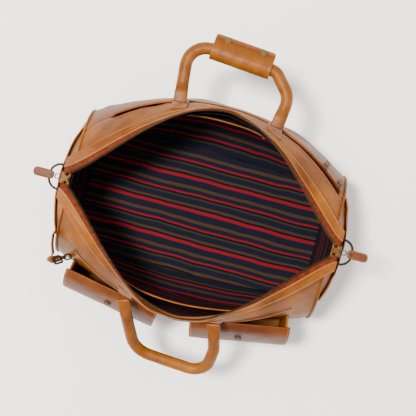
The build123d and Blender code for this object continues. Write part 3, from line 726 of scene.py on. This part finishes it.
# ---------------------------------------------------------------- flat leather tabs
def tab_grid(length, width, corner, rows=26, columns=13, dome=0.5):
    """Points (along, across, lift) of a tab with rounded ends and a soft rolled edge."""
    grid = []
    for i in range(rows):
        along = length / 2 * sin(pi * (i / (rows - 1) - 0.5))
        inset = max(abs(along) - (length / 2 - corner), 0.0)
        half = width / 2 - corner + sqrt(max(corner ** 2 - inset ** 2, 0.04))
        row = []
        for s in np.sin(np.linspace(-pi / 2, pi / 2, columns)):
            row.append((along, half * s, dome * (1 - s ** 4) * (1 - (abs(along) / (length / 2)) ** 6)))
        grid.append(row)
    return grid


def leather_tab(name, centre, along, across, length, width, thick, corner, body, material, replaces=(),
                stitched=True, bend=0.0):
    """A padded leather tab with a stitched edge; centre is the middle of its thickness."""
    along, across = along.normalized(), across.normalized()
    up = along.cross(across).normalized()
    grid = tab_grid(length, width, corner)
    rows = []
    for way in (1, -1):
        sheet = []
        for row in grid:
            sheet.append([centre + along * a + across * c + up * (way * (thick / 2 - 0.5 + h)
                          + bend * (a / length) ** 2 + 0.25 * wave(a + way * 9, c, length, 9))
                          for a, c, h in row])
        rows.append(sheet)
    verts = [v for sheet in rows for row in sheet for v in row]
    count, columns = len(grid), len(grid[0])
    total = count * columns
    faces = [tuple(reversed(f)) for f in grid_faces(count, columns)] + grid_faces(count, columns, total)
    rim = [c for c in range(columns)] + [r * columns + columns - 1 for r in range(1, count)]
    rim += [(count - 1) * columns + c for c in reversed(range(columns - 1))]
    rim += [r * columns for r in reversed(range(1, count - 1))]
    for a, b in zip(rim, rim[1:] + rim[:1]):
        faces.append((a, b, b + total, a + total))
    obj = piece(name, verts, [tuple(reversed(f)) for f in faces], material, body, replaces)
    if stitched:
        ring = []
        for turn in np.linspace(0, 2 * pi, 49):
            a, c = cos(turn), sin(turn)
            power = 0.45
            a = (abs(a) ** power) * (1 if a > 0 else -1) * (length / 2 - 1.9)
            c = (abs(c) ** power) * (1 if c > 0 else -1) * (width / 2 - 1.9)
            ring.append(centre + along * a + across * c + up * (thick / 2 + 0.05))
        stitches(f"{name}_stitches", [ring], body, pitch=3.0, length=2.1, radius=0.32)
    return obj


def sewn_patch(name, spot, half, low, high, thick, material, replaces=(), out=0.4, cross=False):
    """A patch that follows a wall of the bag, with a stitched border. spot(across, height, out) gives points."""
    rows = []
    for height in np.linspace(low, high, 22):
        inset = 3.5 * (1 - sqrt(max(1 - (1 - min((height - low) / 5.0, 1.0)) ** 2, 0.0)))
        rows.append([spot(a, height, out + thick) for a in np.linspace(-half + inset, half - inset, 15)])
    normal = (spot(0, low + 5, 5) - spot(0, low + 5, 0)).normalized()
    rows = facing(rows, 0, 0, normal)
    sheet_piece(name, rows, material, "bag", thick, replaces, offset=-1.0)
    edge, lift = half - 2.6, out + thick + 0.1
    ring = [spot(a, low + 3, lift) for a in np.linspace(-edge, edge, 10)]
    ring += [spot(edge, h, lift) for h in np.linspace(low + 3, high - 3, 12)]
    ring += [spot(a, high - 3, lift) for a in np.linspace(edge, -edge, 10)]
    ring += [spot(-edge, h, lift) for h in np.linspace(high - 3, low + 3, 12)]
    lines = [ring]
    if cross:
        lines.append([spot(edge * s, low + 3 + (high - low - 6) * (s + 1) / 2, lift) for s in np.linspace(-1, 1, 14)])
        lines.append([spot(-edge * s, low + 3 + (high - low - 6) * (s + 1) / 2, lift) for s in np.linspace(-1, 1, 14)])
    stitches(f"{name}_stitches", lines, "bag", pitch=3.2, length=2.3, radius=0.36)


# ---------------------------------------------------------------- handles
def handle_point(side, x, reach, lift=0.0):
    """A point of a handle's own plane, lifted square to it."""
    angle = radians(-FRONT_DROOP if side < 0 else 0)
    return Vector((x, side * (HINGE_Y + reach * cos(angle) - lift * sin(angle)),
                   HINGE_Z + reach * sin(angle) + lift * cos(angle)))


for side, route, bends in ((-1, FRONT_ROUTE, FRONT_BENDS), (1, BACK_ROUTE, BACK_BENDS)):
    trimmed = [(route[0][0], 2.5)] + route[1:-1] + [(route[-1][0], 2.5)]
    path = fillet_path(trimmed, bends, 2.5)
    total = 2.5 * (len(path) - 1)
    verts = []
    sides = 36
    for i, p in enumerate(path):
        tangent = (path[min(i + 1, len(path) - 1)] - path[max(i - 1, 0)]).normalized()
        across = Vector((tangent.y, -tangent.x, 0))
        near_end = min(i, len(path) - 1 - i) * 2.5
        roll = fade(near_end, 14, 34)
        wide = 11.2 + (HANDLE_RADIUS - 11.2) * roll
        deep = 2.6 + (HANDLE_RADIUS - 2.6) * roll
        for k in range(sides):
            turn = 2 * pi * k / sides
            seam = 0.9 * roll * max(0.0, 1 - abs(((turn - pi * 0.93) / 0.16))) ** 0.6
            soft = 1 + 0.035 * wave(i * 2.5 + 40 * side, 9 * cos(turn), 9 * sin(turn), 14) * roll
            u, v = wide * cos(turn) * soft, deep * sin(turn) * soft
            u, v = u + seam * cos(turn), v + seam * sin(turn)
            q = p + across * u
            verts.append(handle_point(side, q.x, q.y, v))
    faces = grid_faces(len(path), sides, wrap=True)
    faces.append(tuple(reversed(range(sides))))
    faces.append(tuple(range((len(path) - 1) * sides, len(path) * sides)))
    body = f"handle_{NAMES[side]}"
    piece(f"{body}_leather", verts, faces, MATERIALS["tan_leather"], body, (body,))
    thread = []
    for offset in (-0.22, 0.22):
        line = []
        for i, p in enumerate(path[12:-12], 12):
            tangent = (path[i + 1] - path[i - 1]).normalized()
            q = p + Vector((tangent.y, -tangent.x, 0)) * (HANDLE_RADIUS + 0.15) * cos(pi * 0.93 + offset)
            line.append(handle_point(side, q.x, q.y, (HANDLE_RADIUS + 0.15) * sin(pi * 0.93 + offset)))
        thread.append(line)
    stitches(f"{body}_stitches", thread, body)
    ends = [route[0][0], route[-1][0]]
    for number, x0 in enumerate(ends):
        def spot(across, height, out, x0=x0, side=side):
            return panel_point(x0 + across, height, side, out)
        sewn_patch(f"anchor_{NAMES[side]}_{number}", spot, 13.0, 205.0, 234.0, 2.6, MATERIALS["band_leather"],
                   ("handle_anchors",), cross=True)

# ---------------------------------------------------------------- grip wrap
start, stop = Vector((*BACK_ROUTE[1], 0)), Vector((*BACK_ROUTE[2], 0))
wrap_along = (stop - start).normalized()
wrap_middle = start + (stop - start) * ((-1.0 - start.x) / (stop.x - start.x))
wrap_out = Vector((-wrap_along.y, wrap_along.x, 0))
for way, name, body in ((1, "top", "wrap_leaf"), (-1, "bottom", "handle_back")):
    reach = HANDLE_RADIUS + 1.6
    knots = [(0.9, -14.6), (reach * 0.76, -reach * 0.80), (reach, 0.0), (reach * 0.66, reach * 1.12), (2.4, 21.0),
             (1.9, 28.0)]
    knots = [Vector((out, lift, 0)) for lift, out in knots]
    curve = [knots[0]]
    for i in range(len(knots) - 1):
        near = [knots[min(max(i + step, 0), len(knots) - 1)] for step in (-1, 0, 1, 2)]
        curve += [spline(*near, t) for t in (0.2, 0.4, 0.6, 0.8, 1.0)]
    profile = resample(curve, 1.6)
    rows = []
    for s in np.linspace(-52, 52, 105):
        row = []
        corner = max(abs(s) - 47, 0) / 5
        for j, q in enumerate(profile):
            share = j / (len(profile) - 1)
            pucker = (0.9 * sin(s / 2.1 + 2 * wave(s, 0, way * 5, 12)) * (1 - fade(share, 0.0, 0.30))
                      + 0.7 * sin(s / 4.0 + 1.5 * wave(s, share * 20, 3, 10)) * sin(pi * share) ** 2)
            out = q.x - 2.2 * corner ** 2 * fade(share, 0.7, 1.0)
            lift = max(q.y + pucker * 0.55, 0.6)
            p = wrap_middle + wrap_along * s + wrap_out * out
            row.append(handle_point(1, p.x, p.y, way * lift))
        rows.append(row if way > 0 else list(reversed(row)))
    sheet_piece(f"wrap_{name}", list(reversed(rows)), MATERIALS["band_leather" if way < 0 else "tan_leather"],
                body, 1.8, (f"grip_wrap_{name}",), offset=-1.0)
    if way > 0:
        lines = []
        for inset in (3.0,):
            p = [(s, 28.0 - inset, 2.2) for s in np.linspace(-48, 48, 60)]
            lines.append([handle_point(1, *(wrap_middle + wrap_along * s + wrap_out * o).xy, h + 0.1) for s, o, h in p])
        for s in (-49, 49):
            line = []
            for q in profile[3:-2]:
                p = wrap_middle + wrap_along * s + wrap_out * q.x
                line.append(handle_point(1, p.x, p.y, q.y + 0.3))
            lines.append(line)
        stitches("wrap_stitches", lines, body)


# ---------------------------------------------------------------- pockets and flaps
def pocket_point(side, across, out, height):
    """A point in a pocket's own frame: across its width, out from the chord of the panel."""
    x0, x1 = POCKET_X - POCKET_WIDTH / 2, POCKET_X + POCKET_WIDTH / 2
    chord = (panel_y(x0, 150, -1) + panel_y(x1, 150, -1)) / 2
    turn = radians(side * POCKET_TURN)
    return Vector((side * POCKET_X + across * cos(turn) + out * sin(turn),
                   -chord + across * sin(turn) - out * cos(turn), height))


def wall_out(side, across, height, over=0.0):
    """How far out from the chord the panel stands at a place across a pocket."""
    low, high = -80.0, 60.0
    for _ in range(22):
        middle = (low + high) / 2
        p = pocket_point(side, across, middle, height)
        if -p.y > panel_y(min(max(p.x, -228), 228), height, -1) + over + panel_sag(p.x, height, -1):
            high = middle
        else:
            low = middle
    return high


def pocket_depth(height):
    """Depth of a pocket at a height, a smooth curve through POCKET_DEPTHS."""
    (h0, d0), (h1, d1), (h2, d2) = POCKET_DEPTHS
    curve = np.polynomial.Polynomial.fit([h0, h1, h2], [d0, d1, d2], 2)
    return float(curve(height))


def flap_profile_point(share):
    """(out, height) along the inside of a flap."""
    knots = [Vector((*k, 0)) for k in FLAP_PROFILE]
    place = share * (len(knots) - 1)
    i = min(int(place), len(knots) - 2)
    t = place - i
    a, b, c, d = (knots[min(max(i + o, 0), len(knots) - 1)] for o in (-1, 0, 1, 2))
    q = spline(a, b, c, d, t)
    return q.x, q.y


for side in (-1, 1):
    rows = []
    half = POCKET_WIDTH / 2
    steps = [(POCKET_FOOT + 1.0, s) for s in (0.05, 0.3, 0.6, 0.85, 0.95)]
    steps += [(h, 1.0) for h in np.linspace(POCKET_FOOT + 3, POCKET_TOP, 40)]
    for height, share in steps:
        depth = pocket_depth(height) * share
        corner = 15.0 * min(share, 1.0) + 0.5
        row = []
        edge = wall_out(side, -half, height)
        for t in np.linspace(0, 1, 10):
            row.append((-half, edge + (max(depth - corner, edge) - edge) * t))
        for t in np.linspace(0.1, 1, 9):
            row.append((-half + corner * (1 - cos(t * pi / 2)), max(depth - corner, edge) + corner * sin(t * pi / 2)))
        for t in np.linspace(-0.95, 0.95, 45):
            x = (half - corner) * t
            sag = 2.0 * wave(side * 90 + x, height, 0, 42) - 1.4 * abs(wave(x, height * 0.6, 7 * side, 24)) - 0.6
            row.append((x, depth + sag * fade(1 - abs(t), 0, 0.15) * share
                        * (1 - 0.6 * fade(height, 150, 168))))
        other = wall_out(side, half, height)
        for t in np.linspace(1, 0.1, 9):
            row.append((half - corner * (1 - cos(t * pi / 2)), max(depth - corner, other) + corner * sin(t * pi / 2)))
        for t in np.linspace(1, 0, 10):
            row.append((half, other + (max(depth - corner, other) - other) * t))
        rows.append([pocket_point(side, a, o, height) for a, o in row])
    rows = facing(rows, 20, 36, Vector((0, -1, 0)))
    sheet_piece(f"pocket_{ENDS[side]}", rows, MATERIALS["tan_leather"], "bag", 2.3,
                (f"pocket_body_{ENDS[side]}",))
    tube_piece(f"pocket_rim_{ENDS[side]}", rows[-1], 1.5, MATERIALS["band_leather"], "bag")
    foot = [pocket_point(side, a, pocket_depth(POCKET_FOOT + 4) - 5, POCKET_FOOT + 2.0)
            for a in np.linspace(-half + 10, half - 10, 40)]
    tube_piece(f"pocket_foot_{ENDS[side]}", foot, 2.0, MATERIALS["band_leather"], "bag")

    rows, edge_line = [], []
    wide = FLAP_WIDTH / 2
    for i, share in enumerate(np.linspace(0, 1, 34)):
        out, height = flap_profile_point(share)
        nxt = flap_profile_point(min(share + 0.02, 1.0))
        prev = flap_profile_point(max(share - 0.02, 0.0))
        run = hypot(nxt[0] - prev[0], nxt[1] - prev[1])
        n_out, n_up = -(nxt[1] - prev[1]) / run, (nxt[0] - prev[0]) / run
        below = max(113.8 + 18.0 - height, 0.0)
        reach = wide - 18.0 + sqrt(max(18.0 ** 2 - below ** 2, 9.0))
        row = []
        for s in np.sin(np.linspace(-pi / 2, pi / 2, 61)):
            soft = (0.9 * wave(s * 80 + 200 * side, share * 60, 0, 36) + 0.35 * wave(s * 80, share * 60, 5, 12))
            lift = 2.3 + soft * fade(1 - abs(s), 0, 0.2) - 0.5 * fade(abs(s), 0.93, 1.0)
            row.append(pocket_point(side, reach * s, out + n_out * lift, height + n_up * lift))
        rows.append(row)
    rows = facing(rows, 10, 30, Vector((0, 0, 1)))
    body = f"flap_{ENDS[side]}"
    # the flap takes the darkened flap_leather: painted shade of the front side
    sheet_piece(f"{body}_leather", rows, MATERIALS["flap_leather"], body, 2.3,
                (f"pocket_flap_{ENDS[side]}",))
    lines = [[rows[r][5] for r in range(2, 31)],
             [rows[r][-6] for r in range(2, 31)], [rows[31][c] for c in range(5, 56)]]
    stitches(f"{body}_stitches", lines, body, radius=0.6)
    root = []
    for height in np.linspace(203.0, 198.4, 8):
        root.append([pocket_point(side, a, wall_out(side, a, height, 0.6) + 1.2, height)
                     for a in np.linspace(-wide + 1.5, wide - 1.5, 50)])
    root = facing(root, 0, 25, Vector((0, -1, 0)))
    # the flap root also takes the darkened flap_leather: painted shade
    sheet_piece(f"{body}_root", root, MATERIALS["flap_leather"], "bag", 1.8)
    stitches(f"{body}_root_stitches", [root[2]], "bag", radius=0.6)

# ---------------------------------------------------------------- back zip
def arc_point(turn, radius, height=BACK_ZIP_Z):
    """A point on the level arc of the back zip."""
    a = radians(turn)
    return Vector((radius * sin(a), BACK_ZIP_CENTRE_Y + radius * cos(a), height))


turns = np.linspace(BACK_ZIP_SPAN[0], BACK_ZIP_SPAN[1], 120)
for way, name in ((-1, "lower"), (1, "upper")):
    rows = []
    for share in np.linspace(0, 1, 5):
        rows.append([arc_point(t, BACK_ZIP_RADIUS - 0.4 - 0.6 * share, BACK_ZIP_Z + way * (1.7 + 5.0 * share))
                     for t in turns])
    sheet_piece(f"back_tape_{name}", rows if way < 0 else list(reversed(rows)), MATERIALS["zip_tape"], "bag",
                0.9, ("back_zip_tapes",))
    piping = [panel_point(312 * sin(radians(t)), BACK_ZIP_Z + way * (zip_gap(312 * sin(radians(t))) + 1.1), 1, -0.6)
              for t in turns]
    tube_piece(f"back_lip_{name}", piping, 0.9, MATERIALS["zip_tape"], "bag")
    lip = [panel_point(312 * sin(radians(t)), BACK_ZIP_Z + way * (zip_gap(312 * sin(radians(t))) + 4.5), 1, 0.4)
           for t in turns]
    stitches(f"back_lip_stitches_{name}", [lip], "bag")

    def across_zip(spot, way=way):
        return Vector((0, 0, -way))

    def out_of_zip(spot):
        return Vector((spot.x, spot.y - BACK_ZIP_CENTRE_Y, 0)).normalized()

    teeth(f"back_chain_{name}", [arc_point(t, BACK_ZIP_RADIUS - 0.3, BACK_ZIP_Z + way * 0.9) for t in turns],
          across_zip, out_of_zip, replaces=("back_zip_chain",), pitch=2.6, size=0.62)

pouch = [[panel_point(x, float(h), 1, -4.2 - 0.6 * wave(x, h, 4, 30), sag=0.0) for x in np.linspace(-150, 150, 61)]
         for h in np.linspace(72, 192, 30)]
sheet_piece("back_pouch_cloth", list(reversed(pouch)), MATERIALS["lining_cloth"], "bag", 0.8,
            ("back_pocket_pouch",))

# ---------------------------------------------------------------- small pulls
for turn, name in ((42.6, "outer"), (35.6, "inner")):
    a = radians(turn)
    outward = Vector((sin(a), cos(a), 0))
    along_zip = Vector((cos(a), -sin(a), 0))
    hinge = arc_point(turn, BACK_ZIP_RADIUS + 5.0)
    hang = outward * sin(radians(24)) - Vector((0, 0, cos(radians(24))))
    body = f"back_pull_{name}"
    ring = []
    for k in range(40):
        t = 2 * pi * k / 40
        ring.append(hinge + along_zip * (3.6 * (abs(cos(t)) ** 0.6) * (1 if cos(t) > 0 else -1))
                    + hang * (7.2 + 7.0 * (abs(sin(t)) ** 0.6) * (1 if sin(t) > 0 else -1)))
    tube_piece(f"{body}_link", ring, 0.75, MATERIALS["antique_brass"], body, closed=True)
    leather_tab(f"{body}_tab", hinge + hang * 25, hang, -along_zip, 26, 10, 2.0, 4.4, body,
                MATERIALS["pull_leather"], (body,))

for side in (-1, 1):
    body = f"pull_{ENDS[side]}"
    centre = Vector((side * (SLIDER_X + 18.5 + 17.5), 0, PULL_Z))
    leather_tab(f"{body}_leather", centre, Vector((side, 0, 0)), Vector((0, 1, 0)), 35, 15, 3.4, 6.4, body,
                MATERIALS["pull_leather"], (f"pull_tab_{ENDS[side]}",))

low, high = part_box("inner_zip_pull")
low, high = Vector(low) / MM, Vector(high) / MM
middle = (low + high) / 2
size = high - low
leather_tab("inner_pull_leather", middle, Vector((0, 0, 1)), Vector((1, 0, 0)), size.z, min(size.x, 9.0), 1.8,
            min(size.x, 9.0) / 2 - 0.3, "inner_pull", MATERIALS["pull_leather"],
            ("inner_zip_pull",))

# ---------------------------------------------------------------- straps, chapes and buckle
buckle = Vector((-218, -140, 192))
buckle_along = Vector((0.85, 0.53, 0)).normalized()
buckle_face = Vector((0.375, -0.6, 0.707)).normalized()
buckle_across = buckle_face.cross(buckle_along)
for side in (-1, 1):
    def end_spot(across, height, out, side=side):
        return gusset_point(across, height, side, out)
    seam = smooth(CORNER_Y, 192.0) - 4
    spine = [(gusset_point(y, 192.0, side, 3.3), Vector((side, 0, 0))) for y in np.linspace(seam, -seam, 60)]
    if side < 0:
        corner = spine[-1][0]
        for goal in ((-237.5, -100, 192), (-235, -116, 192), (-229.5, -131, 192)):
            goal = Vector(goal)
            for share in (0.25, 0.5, 0.75, 1.0):
                spine.append((corner.lerp(goal, share), Vector((-1, -0.25, 0)).normalized()))
            corner = goal
        start, stop = buckle - buckle_along * 12 - buckle_face * 2.9, buckle + buckle_along * 5 - buckle_face * 2.9
        for share in np.linspace(0.15, 1.0, 12):
            bend = corner.lerp(start, min(share * 2, 1.0)) if share < 0.5 else start.lerp(stop, share * 2 - 1)
            turn = Vector((-0.97, -0.25, 0)).lerp(buckle_face, fade(share, 0.0, 0.6)).normalized()
            spine.append((bend, turn))
    rows = []
    for i, (centre, outward) in enumerate(spine):
        travel = (spine[min(i + 1, len(spine) - 1)][0] - spine[max(i - 1, 0)][0]).normalized()
        width = travel.cross(outward).normalized()
        rows.append([centre + width * (7.4 * s) + outward * (0.35 * (1 - s * s)) for s in np.linspace(-1, 1, 9)])
    rows = facing(rows, 0, 4, Vector((side, 0, 0)))
    sheet_piece(f"strap_{ENDS[side]}", rows, MATERIALS["band_leather"], "bag", 2.2,
                (f"side_strap_{ENDS[side]}",))
    stitches(f"strap_stitches_{ENDS[side]}", [[r[1] + Vector((side * 0.15, 0, 0)) for r in rows],
                                              [r[7] + Vector((side * 0.15, 0, 0)) for r in rows]], "bag")

    bar_x = gusset_x(0, 229.0) + 0.4 + 1.7 + 2.0 + 0.3
    profile = [Vector((gusset_point(0, h, side, 2.2).x * side, h, 0)) for h in np.linspace(206, 229, 10)]
    profile += [Vector((bar_x + 4.2 * cos(radians(a)), 236.5 + 4.2 * sin(radians(a)), 0))
                for a in range(-50, 240, 15)]
    profile.append(Vector((gusset_x(0, 229.0) + 0.5, 231, 0)))
    rows = [[Vector((side * q.x, y, q.y)) for y in np.linspace(-9.8, 9.8, 11)] for q in profile]
    rows = facing(rows, 1, 5, Vector((side, 0, 0)))
    sheet_piece(f"chape_{ENDS[side]}", rows, MATERIALS["band_leather"], "bag", 1.5,
                ("ring_chapes",))
    box = [gusset_point(y, 208.5, side, 2.5) for y in np.linspace(-7.5, 7.5, 6)]
    box += [gusset_point(7.5, h, side, 2.5) for h in np.linspace(208.5, 226, 7)]
    box += [gusset_point(y, 226.0, side, 2.5) for y in np.linspace(7.5, -7.5, 6)]
    box += [gusset_point(-7.5, h, side, 2.5) for h in np.linspace(226, 208.5, 7)]
    stitches(f"chape_stitches_{ENDS[side]}", [box], "bag", pitch=3.2, length=2.3, radius=0.36)

leather_tab("buckle_chape_leather", buckle + buckle_along * 9 - buckle_face * 2.2, buckle_along, buckle_across,
            13, 9, 1.5, 1.5, "bag", MATERIALS["band_leather"], ("buckle_chape",), stitched=False)
leather_tab("corner_tab_leather", buckle + buckle_along * 33 - buckle_face * 2.6, buckle_along, buckle_across,
            26, 12, 2.4, 4.0, "bag", MATERIALS["band_leather"], ("corner_tab",))

# ---------------------------------------------------------------- floor, light and camera
mesh = bpy.data.meshes.new("ground")
mesh.from_pydata([(-6, -6, 0), (6, -6, 0), (6, 6, 0), (-6, 6, 0)], [], [(0, 1, 2, 3)])
ground = bpy.data.objects.new("ground", mesh)
bpy.context.scene.collection.objects.link(ground)
mesh.materials.append(MATERIALS["floor"])


def area_light(name, place, size, power, colour):
    """A square soft light aimed at the bag."""
    data = bpy.data.lights.new(name, "AREA")
    data.size = size
    data.energy = power
    data.color = colour
    light = bpy.data.objects.new(name, data)
    light.location = place
    light.rotation_euler = (Vector((0, 0, 0.12)) - Vector(place)).to_track_quat("-Z", "Y").to_euler()
    bpy.context.scene.collection.objects.link(light)


area_light("key", (-0.76, 0.11, 3.0), 0.45, 250.0, (1.0, 0.985, 0.96))
area_light("fill", (0.2, 1.4, 3.2), 2.6, 30.0, (1.0, 0.99, 0.98))
world = bpy.data.worlds.new("studio")
world.use_nodes = True
world.node_tree.nodes["Background"].inputs["Color"].default_value = (1.0, 0.985, 0.965, 1.0)
world.node_tree.nodes["Background"].inputs["Strength"].default_value = 1.15
bpy.context.scene.world = world

lens = bpy.data.cameras.new("overhead")
lens.lens = 70.8
lens.sensor_width = 36.0
camera = bpy.data.objects.new("overhead", lens)
camera.location = (0.009, 0.0134, 1.6)
camera.rotation_euler = (0.0, 0.0, radians(15.0))
bpy.context.scene.collection.objects.link(camera)
bpy.context.scene.camera = camera
